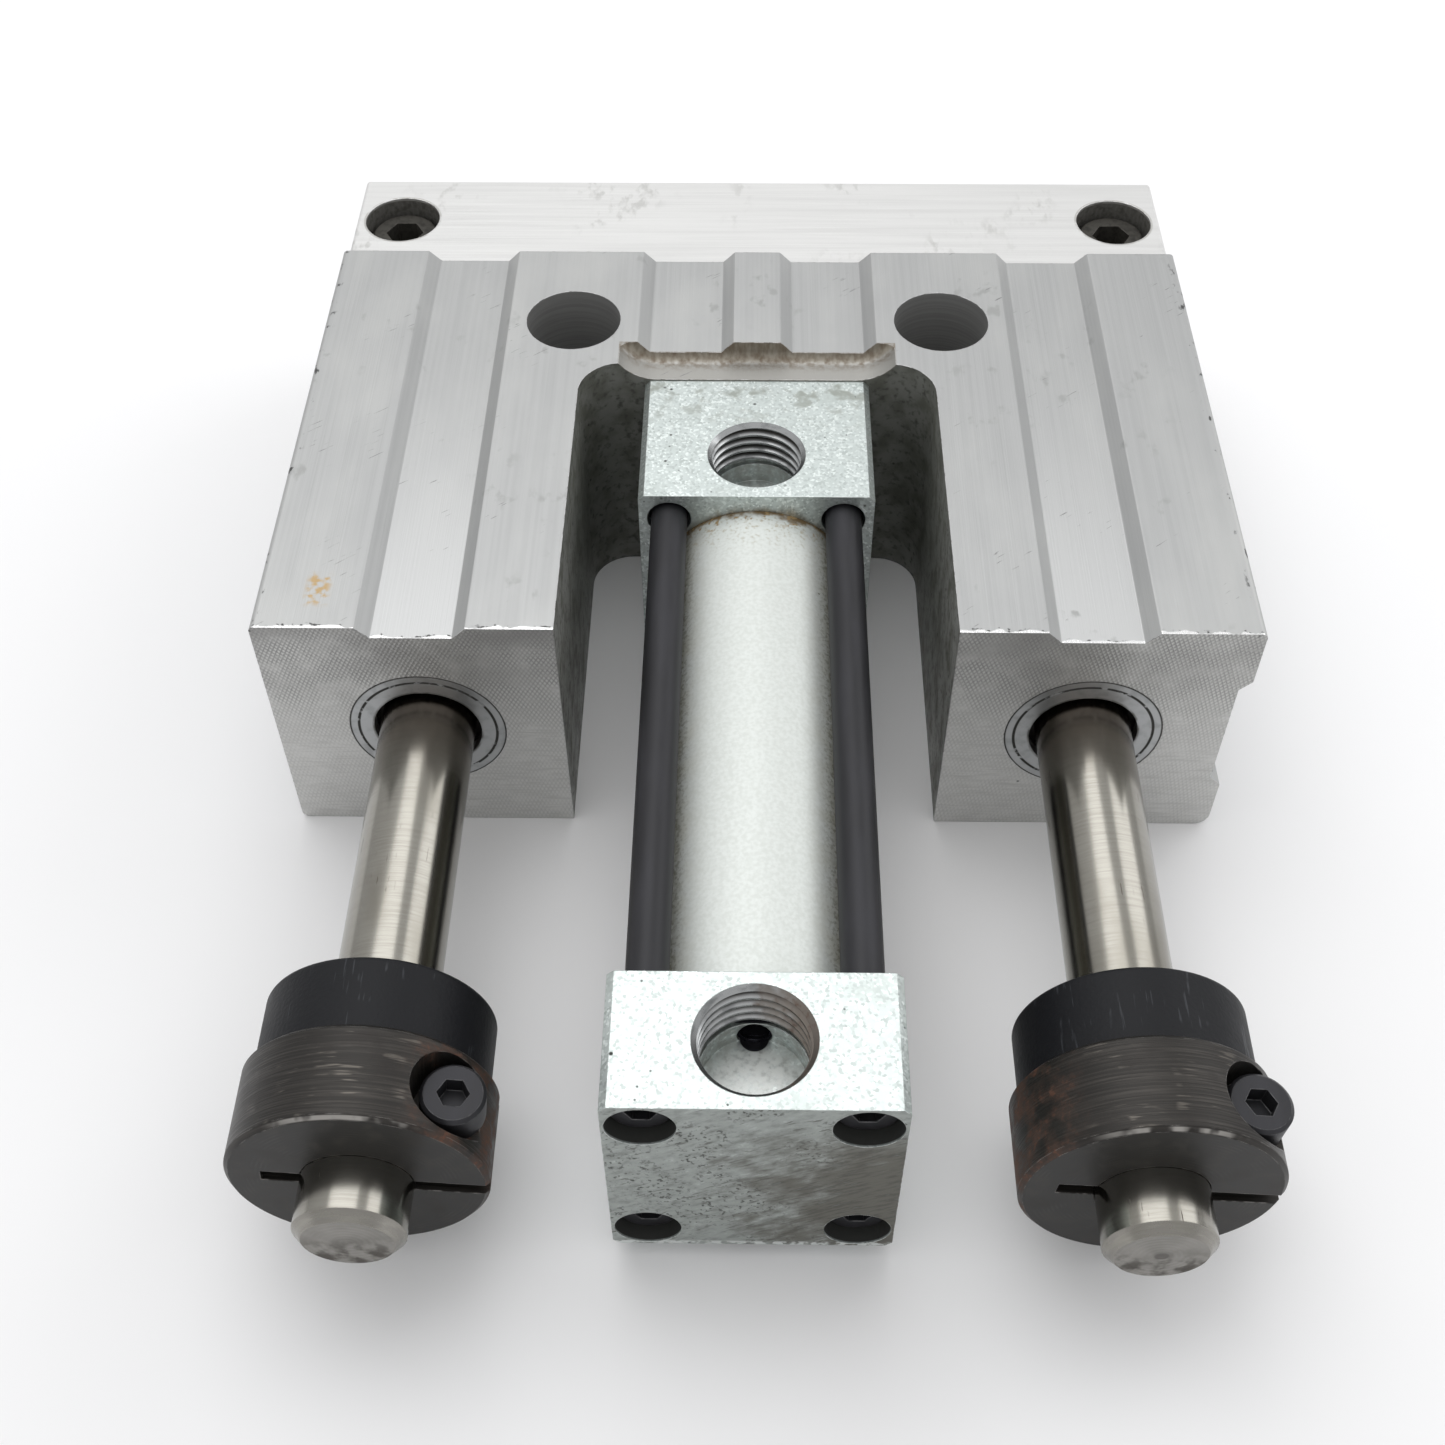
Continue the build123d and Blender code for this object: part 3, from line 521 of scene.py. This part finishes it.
# painted shade: the walls of the air passage past the port are dark
painted_shade_in_passage = zinc.mask((zinc.aside, 2.3, 2.0), (zinc.z, head_top - 6.5, head_top - 6.9),
                      zinc.between(zinc.y, port_places[0] + 6.0, port_places[0] + 8.0, 0.1))
zinc.layer(painted_shade_in_passage, "38383E", 0.4, 0.5)
zinc.layer(zinc.mask(zinc.edge, zinc.grain(1.0, 0.4, 0.6)), "DDE2E0", 0.34)
coat(zinc.done(), "cap_end_head", "rod_end_head")

# %% [markdown]
# ## Threads in the ports
# Each port takes a quarter inch pipe thread: 1.337 mm a turn and 13.16 mm across. A thread is a helix,
# and a helix is one small profile carried round an axis while it climbs. The Screw modifier winds the
# profile's corners in order, and the two open ends are closed. Without a climb it makes a plain ring,
# which is the countersink at a port's mouth.

# %% A helper that winds a thread ridge
def select_nothing():
    bpy.ops.object.select_all(action="DESELECT")


def settle(piece, body, material):
    """Leaves a finished piece at the origin, unturned, on its body, with its slot and its finish."""
    select_nothing()
    piece.select_set(True)
    bpy.context.view_layer.objects.active = piece
    bpy.ops.object.transform_apply(location=True, rotation=True, scale=True)
    piece.data.materials.clear()
    piece.data.materials.append(material)
    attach(piece, body)


def wind(name, corners, pitch, turns):
    """Carries a closed profile of (radius, height) corners in mm round Z, and up a pitch each turn."""
    select_nothing()
    bpy.ops.mesh.primitive_circle_add(vertices=len(corners), radius=MM, fill_type="NOTHING",
                                      location=(0, 0, 0))
    piece = bpy.context.object
    piece.name = name
    for corner, (radius, height) in zip(piece.data.vertices, corners):
        corner.co = Vector((radius, 0, height)) * MM
    winding = piece.modifiers.new("winding", "SCREW")
    winding.screw_offset = pitch * MM
    winding.iterations = turns
    winding.steps = 56
    winding.render_steps = 56
    bpy.ops.object.modifier_apply(modifier="winding")
    bpy.ops.object.mode_set(mode="EDIT")
    bpy.ops.mesh.select_all(action="SELECT")
    bpy.ops.mesh.fill_holes(sides=len(corners))
    bpy.ops.mesh.select_all(action="SELECT")
    bpy.ops.mesh.normals_make_consistent(inside=False)
    bpy.ops.object.mode_set(mode="OBJECT")
    bpy.ops.object.shade_smooth_by_angle(angle=math.radians(40))
    return piece


def thread_ridge(name, place, crest_radius, root_radius, pitch, turns, along_y=False):
    """An inner thread's ridge: narrow at its crest, wide at its root; place is the deep end on its axis."""
    crest, root = 0.1 * pitch, 0.46 * pitch
    corners = [(crest_radius, crest), (root_radius, root), (root_radius, -root), (crest_radius, -crest)]
    ridge = wind(name, corners, pitch, turns)
    if along_y:
        ridge.rotation_euler = (math.radians(-90), 0, 0)
    ridge.location = Vector(place) * MM
    return ridge


# %% [markdown]
# The ridge's finish is bare turned steel, brighter than the plated faces. Both ports get the same ridge
# and the same countersink, each wound afresh and moved to its own place.

# %% The port threads
cut_thread = Finish("turned_thread_steel", "A8AAAB", 0.24, 0.95, edge_radius=0.04)
cut_thread.layer(cut_thread.grain(0.8, 0.45, 0.7, stretch=(3, 3, 1), detail=4.0), "838586", 0.34)
from_ports = [cut_thread.from_axis(cut_thread.x, 0.0, cut_thread.y, port_y) for port_y in port_places]
radius = add(cut_thread.tree, "Math", {0: from_ports[0], 1: from_ports[1]}, operation="MINIMUM").outputs[0]
below_entry = cut_thread.mask((cut_thread.z, head_top - 0.9, head_top - 1.2))
# painted shade: the thread's roots below the mouth are dark, while the crests stay bright
cut_thread.layer(cut_thread.mask((radius, 5.95, 6.45), below_entry), "3E3C39", 0.5, 0.6)
damp = cut_thread.raised(cut_thread.x, cut_thread.grain(2.0, 0.2, 0.8, detail=5.0), 4.0)
cap_end_only = (cut_thread.y, -100.0, -106.0)
rusty = cut_thread.mask(cap_end_only, (damp, 1.0, 6.5))
cut_thread.layer(rusty, "7F7871", 0.34, 0.88)
cut_thread.layer(cut_thread.mask(rusty, cut_thread.grain(0.9, 0.5, 0.75, detail=5.0)), "6B5A50", 0.5, 0.6)
thread_finish = cut_thread.done()
port_thread_depth = 6.9
pipe_crest, pipe_root, pipe_pitch, pipe_turns = 5.86, 6.62, 1.337, 4
countersink = [(6.6, -0.03), (6.0, -0.63), (6.6, -0.95)]
for name, port_y in zip(("cap_end", "rod_end"), port_places):
    lowest = (0, port_y, head_top - port_thread_depth + 0.7)
    ridge = thread_ridge(f"port_thread_{name}", lowest, pipe_crest, pipe_root, pipe_pitch, pipe_turns)
    settle(ridge, "frame", thread_finish)
    entry = wind(f"port_entry_{name}", countersink, 0.0, 1)
    entry.location = Vector((0, port_y, head_top)) * MM
    settle(entry, "frame", thread_finish)
    print(name, "thread", len(ridge.data.polygons), "faces, entry", len(entry.data.polygons))

# %% [markdown]
# A tool is bolted to the plate through four tapped holes, and the air passage of the cap end head has a
# fine thread too, perhaps for a screw that throttles the air. The same helper winds them, along Y.

# %% The threads in the tool plate and the air passage
tapped = Finish("tapped_aluminium", "A9A9A7", 0.32, 0.85, edge_radius=0.04)
tapped.layer(tapped.grain(0.8, 0.4, 0.7, detail=3.0), "8C8C89", 0.4)
tapped_finish = tapped.done()
for number, (side, rise) in enumerate(((-1, -1), (-1, 1), (1, -1), (1, 1)), 1):
    place = (30.0 * side, plate_high.y / MM - 7.0, middle_z + 8.0 * rise)
    ridge = thread_ridge(f"plate_thread_{number}", place, 2.5, 3.04, 1.0, 6, along_y=True)
    settle(ridge, "carriage", tapped_finish)
# painted shade: the passage's thread is dark grey because it lies deep in a narrow hole
dark_thread = Finish("passage_thread_steel_painted_shade", "6A6A74", 0.2, 0.9, edge_radius=0.04)
dark_thread.layer(dark_thread.grain(0.6, 0.4, 0.7, detail=3.0), "44444C", 0.3)
passage = (0, port_places[0] + 5.95, middle_z + 6.7)
ridge = thread_ridge("passage_thread", passage, 1.6, 1.96, 0.5, 2, along_y=True)
settle(ridge, "frame", dark_thread.done())
print("five more thread ridges")

# %% [markdown]
# ## Clear anodised tube
# The tube is drawn aluminium under a thin clear oxide, satin and almost white. Its sides next to the
# tie bolts are partly grimy, with a brown green cast and specks, and partly painted darker as shade,
# in a plain dark band by the upper tie bolts; a ring of grime lies at the rear head.

# %% The tube's finish
tube_low, tube_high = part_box("cylinder_tube")
print("tube is", round((tube_high.y - tube_low.y) / MM, 1), "mm long")
tube_back = rod_head_low.y / MM
tube = Finish("clear_anodised_aluminium", "D5D9D6", 0.52, 0.5, edge_radius=0.1)
tube.layer(tube.grain(0.5, 0.3, 0.7, detail=3.0), "CCD0CC", 0.56)
# partly grime, partly painted shade: the tube's sides next to the tie bolts are darker
sides_grime_and_shade = tube.mask((tube.aside, 5.0, 10.5))
tube.layer(tube.mask(sides_grime_and_shade, tube.grain(3.0, 0.25, 0.8, detail=5.0)), "B4B4A8", 0.62, 0.3)
tube.layer(tube.mask((tube.aside, 7.0, 11.0), tube.grain(0.45, 0.5, 0.6, detail=4.0)), "6F6D5C", 0.7, 0.2)
streaks = tube.mask((tube.aside, 8.2, 10.6), tube.grain(1.0, 0.3, 0.6, detail=5.0))
above_middle = tube.mask((tube.z, middle_z - 5.0, middle_z + 3.0))
tube.layer(tube.mask(streaks, above_middle), "85826F", 0.7, 0.2)
# painted shade: a plain dark band on the upper sides by the tie bolts
tube.layer(tube.mask((tube.aside, 9.6, 12.0), above_middle), "66645A", 0.7, 0.2)
near_head = tube.mask((tube.y, tube_back - 9.0, tube_back - 1.0))
tube.layer(tube.mask(near_head, tube.grain(0.5, 0.54, 0.7, detail=4.0)), "B3AE9E", 0.65, 0.3)
ring_depth = tube.raised(tube.y, tube.grain(1.6, 0.25, 0.75, detail=5.0), 1.6)
tube.layer(tube.mask((ring_depth, tube_back - 0.7, tube_back + 0.7)), "6A5739", 0.8, 0.1)
tube.layer(tube.mask((ring_depth, tube_back - 1.6, tube_back - 0.2), tube.grain(0.8, 0.58, 0.66)),
           "97805A", 0.8, 0.1)
tube.layer(tube.spots(4.0, 0.2, 0.2), "6A675A", 0.7, 0.2)
coat(tube.done(), "cylinder_tube")

# %% [markdown]
# ## Black oxide steel
# Screws and tie bolts are blacked in a hot salt bath. The film is thin and matte, dust shows on it as
# pale specks, and edges that a key or a finger has rubbed turn grey. The two screws in the tool plate
# sit at the bottom of deep holes, where dust and oil have left them brown.

# %% Screws and tie bolts
black = Finish("black_oxide_steel", "2B2B2E", 0.46, 0.5, edge_radius=0.2)
black.layer(black.grain(2.5, 0.4, 0.7, stretch=(1, 6, 1), detail=4.0), "343438", 0.54)
black.layer(black.spots(3.0, 0.14, 0.22), "8B8B8E", 0.8, 0.1)
black.layer(black.mask(black.edge, black.grain(0.8, 0.25, 0.55)), "7A7A7B", 0.38, 0.9)
coat(black.done(), "tie_bolts", "collar_screw_left", "collar_screw_right", "rod_screw")

dusty = Finish("dusty_black_oxide_steel", "403E39", 0.58, 0.35, edge_radius=0.2)
dusty.layer(dusty.grain(0.9, 0.4, 0.7, detail=6.0), "2D2B27", 0.7)
dusty.layer(dusty.mask(dusty.edge, dusty.grain(0.7, 0.3, 0.6)), "66635D", 0.5)
coat(dusty.done(), "plate_pinch_screws")
print("two finishes for the blacked screws")

# %% [markdown]
# ## Brown oxide collars
# The collars are turned from bar and blacked, and the black has gone brown. The tool left rings round
# them, bright where they are rubbed, and rust has started where the film is thin.

# %% The collars' finish
def collar_finish(name, node, rust_turn):
    """Oxidised turned steel about one shaft; rust gathers on the side that rust_turn points to."""
    low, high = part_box(node)
    middle = (low + high) / 2 / MM
    steel = Finish(name, "292725", 0.43, 0.6, edge_radius=0.22)
    radius = steel.from_axis(steel.x, middle.x, steel.z, middle.z)
    end_face = steel.mask((steel.endwise, 0.85, 0.97))
    round_face = steel.mask((steel.endwise, 0.97, 0.85))
    tool_lines = steel.grain(0.24, 0.35, 0.75, stretch=(40, 1, 40), detail=3.0)
    steel.layer(steel.mask(tool_lines, round_face), "3B3835", 0.37)
    steel.relief(steel.mask(tool_lines, round_face), 0.025)
    in_places = steel.grain(3.5, 0.5, 0.62, offset=8.0)
    rubbed = steel.mask(steel.grain(0.4, 0.56, 0.66, stretch=(14, 1, 14)), in_places)
    on_top = (steel.z, middle.z + 8.0, middle.z + 12.0)
    steel.layer(steel.mask(rubbed, round_face, on_top), "5C5853", 0.34, 0.8)
    rings = steel.rings(radius, 0.5)
    steel.layer(end_face, "2D2C2B", 0.44)
    steel.layer(steel.mask((rings, -0.4, 1.0), end_face, steel.grain(3.0, 0.45, 0.8)), "353432", 0.4)
    steel.layer(steel.mask(steel.grain(2.2, 0.48, 0.75, detail=5.0), end_face), "3C3A37", 0.5)
    steel.layer(steel.grain(4.0, 0.5, 0.8, detail=4.0), "2B2826", 0.46)
    damp_side = Vector((math.cos(rust_turn), 0.0, math.sin(rust_turn)))
    toward = add(steel.tree, "VectorMath", {0: steel.place, 1: damp_side}, operation="DOT_PRODUCT")
    axis = middle.dot(damp_side)
    rusted_side = (toward.outputs["Value"], axis + 9.0, axis + 13.6)
    rust = steel.mask(rusted_side, round_face, steel.grain(2.6, 0.35, 0.7, detail=6.0))
    steel.layer(rust, "4E3A30", 0.7, 0.3)
    steel.layer(steel.mask(rust, steel.grain(0.6, 0.5, 0.66, detail=4.0)), "633F2E", 0.78, 0.15)
    steel.layer(steel.mask(steel.edge, steel.grain(1.4, 0.42, 0.62)), "8C8986", 0.35, 0.9)
    front_edge = steel.between(steel.y, low.y / MM + 0.12, low.y / MM + 0.34, 0.12)
    highest = (steel.z, middle.z + 11.0, middle.z + 13.4)
    worn_front = steel.mask(front_edge, round_face, highest, steel.grain(2.4, 0.38, 0.6, offset=4.0))
    steel.layer(worn_front, "A09D99", 0.34, 0.85)
    coat(steel.done(), node)


collar_finish("brown_oxide_steel_left", "collar_left", 0.35)
collar_finish("brown_oxide_steel_right", "collar_right", 3.0)
print("a finish for each collar")

# %% [markdown]
# ## Ground steel shafts
# The shafts are hardened and ground round, so they are almost mirrors with a faint round grain, and a
# brown film near the front bearings where oil has dried. Their ends were faced on a lathe.

# %% The shafts' finish
def shaft_finish(name, node, centre_mark):
    """Ground steel round one shaft, with a faced end and a centre mark of this radius in mm."""
    low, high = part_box(node)
    middle = (low + high) / 2 / MM
    tip = low.y / MM
    steel = Finish(name, "97958E", 0.18, 1.0, edge_radius=0.12)
    steel.layer(steel.grain(0.22, 0.35, 0.75, stretch=(24, 1, 24)), "8F8C85", 0.2)
    steel.layer(steel.grain(6.0, 0.45, 0.75, stretch=(1, 3, 1), detail=3.0), "87847C", 0.21)
    steel.layer(steel.between(steel.y, front + 1.0, front + 6.0, 15.0), "70675E", 0.21)
    runs = steel.grain(0.3, 0.68, 0.74, stretch=(1, 16, 1), detail=2.0)
    worn = steel.mask(runs, steel.grain(9.0, 0.5, 0.6))
    steel.layer(worn, "564E48", 0.4)
    radius = steel.from_axis(steel.x, middle.x, steel.z, middle.z)
    faced = steel.mask((steel.normal_y, -0.9, -0.98), (steel.y, tip + 0.4, tip + 0.1))
    rings = steel.rings(radius, 0.62)
    steel.layer(faced, "84827D", 0.44, 0.9)
    bevelled = steel.mask((steel.y, tip + 2.0, tip + 1.7), (steel.normal_y, -0.2, -0.5))
    steel.layer(steel.mask(bevelled, steel.grain(0.5, 0.3, 0.7, stretch=(6, 1, 6))), "8E8B86", 0.36)
    steel.layer(steel.mask(faced, (rings, -0.3, 1.0), steel.grain(3.0, 0.3, 0.8)), "8F8D89", 0.45)
    lower_part = (steel.z, middle.z + 2.5, middle.z - 3.0)
    smudge = steel.mask(faced, steel.grain(2.0, 0.42, 0.62, detail=7.0), lower_part)
    steel.layer(smudge, "4E4A45", 0.65, 0.4)
    steel.layer(steel.mask(faced, (radius, centre_mark, centre_mark - 0.3)), "5F5C58", 0.5, 0.6)
    steel.relief(steel.mask(faced, (rings, -1.0, 1.0)), 0.012)
    coat(steel.done(), node)


shaft_finish("ground_steel_left", "guide_shaft_left", 0.1)
shaft_finish("ground_steel_right", "guide_shaft_right", 0.9)
print("a finish for each shaft")

# %% [markdown]
# ## Bearings, rubber and the hidden parts
# Each bearing shows a pale steel ring round its shaft. The bumpers are moulded black rubber with a dull
# skin and light scuffs. The seals, bushings and the piston lie inside and are seen only when the slide
# is taken apart, but each still gets the finish of what it is made of.

# %% Bearings, rubber, bronze, polymer and magnet
bearing = Finish("bearing_steel", "B4B6B7", 0.38, 0.85, edge_radius=0.12)
bearing.layer(bearing.grain(1.5, 0.45, 0.75, detail=4.0), "A2A4A5", 0.44)
shaft_low, shaft_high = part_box("guide_shaft_right")
shaft_x = (shaft_low.x + shaft_high.x) / 2 / MM
radius = bearing.from_axis(bearing.aside, shaft_x, bearing.z, middle_z)
bearing.layer(bearing.mask((radius, 9.72, 9.9)), "3C3B38", 0.7, 0.3)
seam = bearing.between(radius, 8.68, 8.92, 0.12)
bearing.layer(bearing.mask(seam, bearing.grain(1.3, 0.36, 0.46, detail=4.0)), "353431", 0.7, 0.3)
bearing.layer(bearing.mask((radius, 7.2, 6.95), bearing.grain(2.0, 0.3, 0.6)), "6A6A67", 0.5, 0.6)
bearing_nodes = [name for name in nodes if name.startswith(("bearing_shell", "bearing_ring"))]
coat(bearing.done(), *bearing_nodes)

rubber = Finish("moulded_black_rubber", "121317", 0.5, 0.0, edge_radius=0.5, ior=1.52, gloss=0.2)
rubber.layer(rubber.grain(5.0, 0.4, 0.75, detail=4.0), "17181B", 0.58)
hairlines = rubber.grain(0.35, 0.6, 0.68, stretch=(1, 14, 14))
scuffs = rubber.mask(hairlines, rubber.grain(5.0, 0.5, 0.6, offset=5.0))
rubber.layer(scuffs, "303236", 0.45)
rubber.layer(rubber.mask(rubber.edge, rubber.grain(1.5, 0.45, 0.6)), "3A3B40", 0.6)
rubber.relief(rubber.grain(0.5, 0.3, 0.7), 0.015)
coat(rubber.done(), "bumper_left", "bumper_right", "cushion_pad_front", "cushion_pad_rear")

seal = Finish("seal_rubber", "1D1D1F", 0.45, 0.0, ior=1.52)
seal.layer(seal.grain(1.0, 0.4, 0.7), "262628", 0.5)
coat(seal.done(), "tube_seal_front", "tube_seal_rear", "rod_seal", "piston_seals")

polymer = Finish("filled_polymer_liner", "2E2C28", 0.4, 0.0, ior=1.45)
polymer.layer(polymer.spots(1.0, 0.15, 0.4), "5A5448", 0.5)
coat(polymer.done(), *[name for name in nodes if name.startswith("bearing_liner")])

bronze = Finish("sintered_bronze", "9C7440", 0.42, 1.0)
bronze.layer(bronze.spots(0.8, 0.16, 0.4), "5A4020", 0.6)
coat(bronze.done(), "rod_bushing")

magnet = Finish("ferrite_magnet", "3A3A3C", 0.5, 0.2)
magnet.layer(magnet.grain(0.8, 0.4, 0.7), "48484A", 0.55)
coat(magnet.done(), "piston_magnet")

turned = Finish("turned_aluminium", "C8C9CA", 0.3, 0.9)
turned.layer(turned.grain(0.3, 0.3, 0.7, stretch=(30, 1, 30)), "B4B5B6", 0.36)
coat(turned.done(), "piston")

rod = Finish("chrome_plated_steel", "C9CBCD", 0.12, 1.0)
rod.layer(rod.grain(2.0, 0.4, 0.7, stretch=(1, 8, 1)), "BFC1C3", 0.16)
coat(rod.done(), "piston_rod", "piston_nut")
print(len(bpy.data.materials), "materials in all")
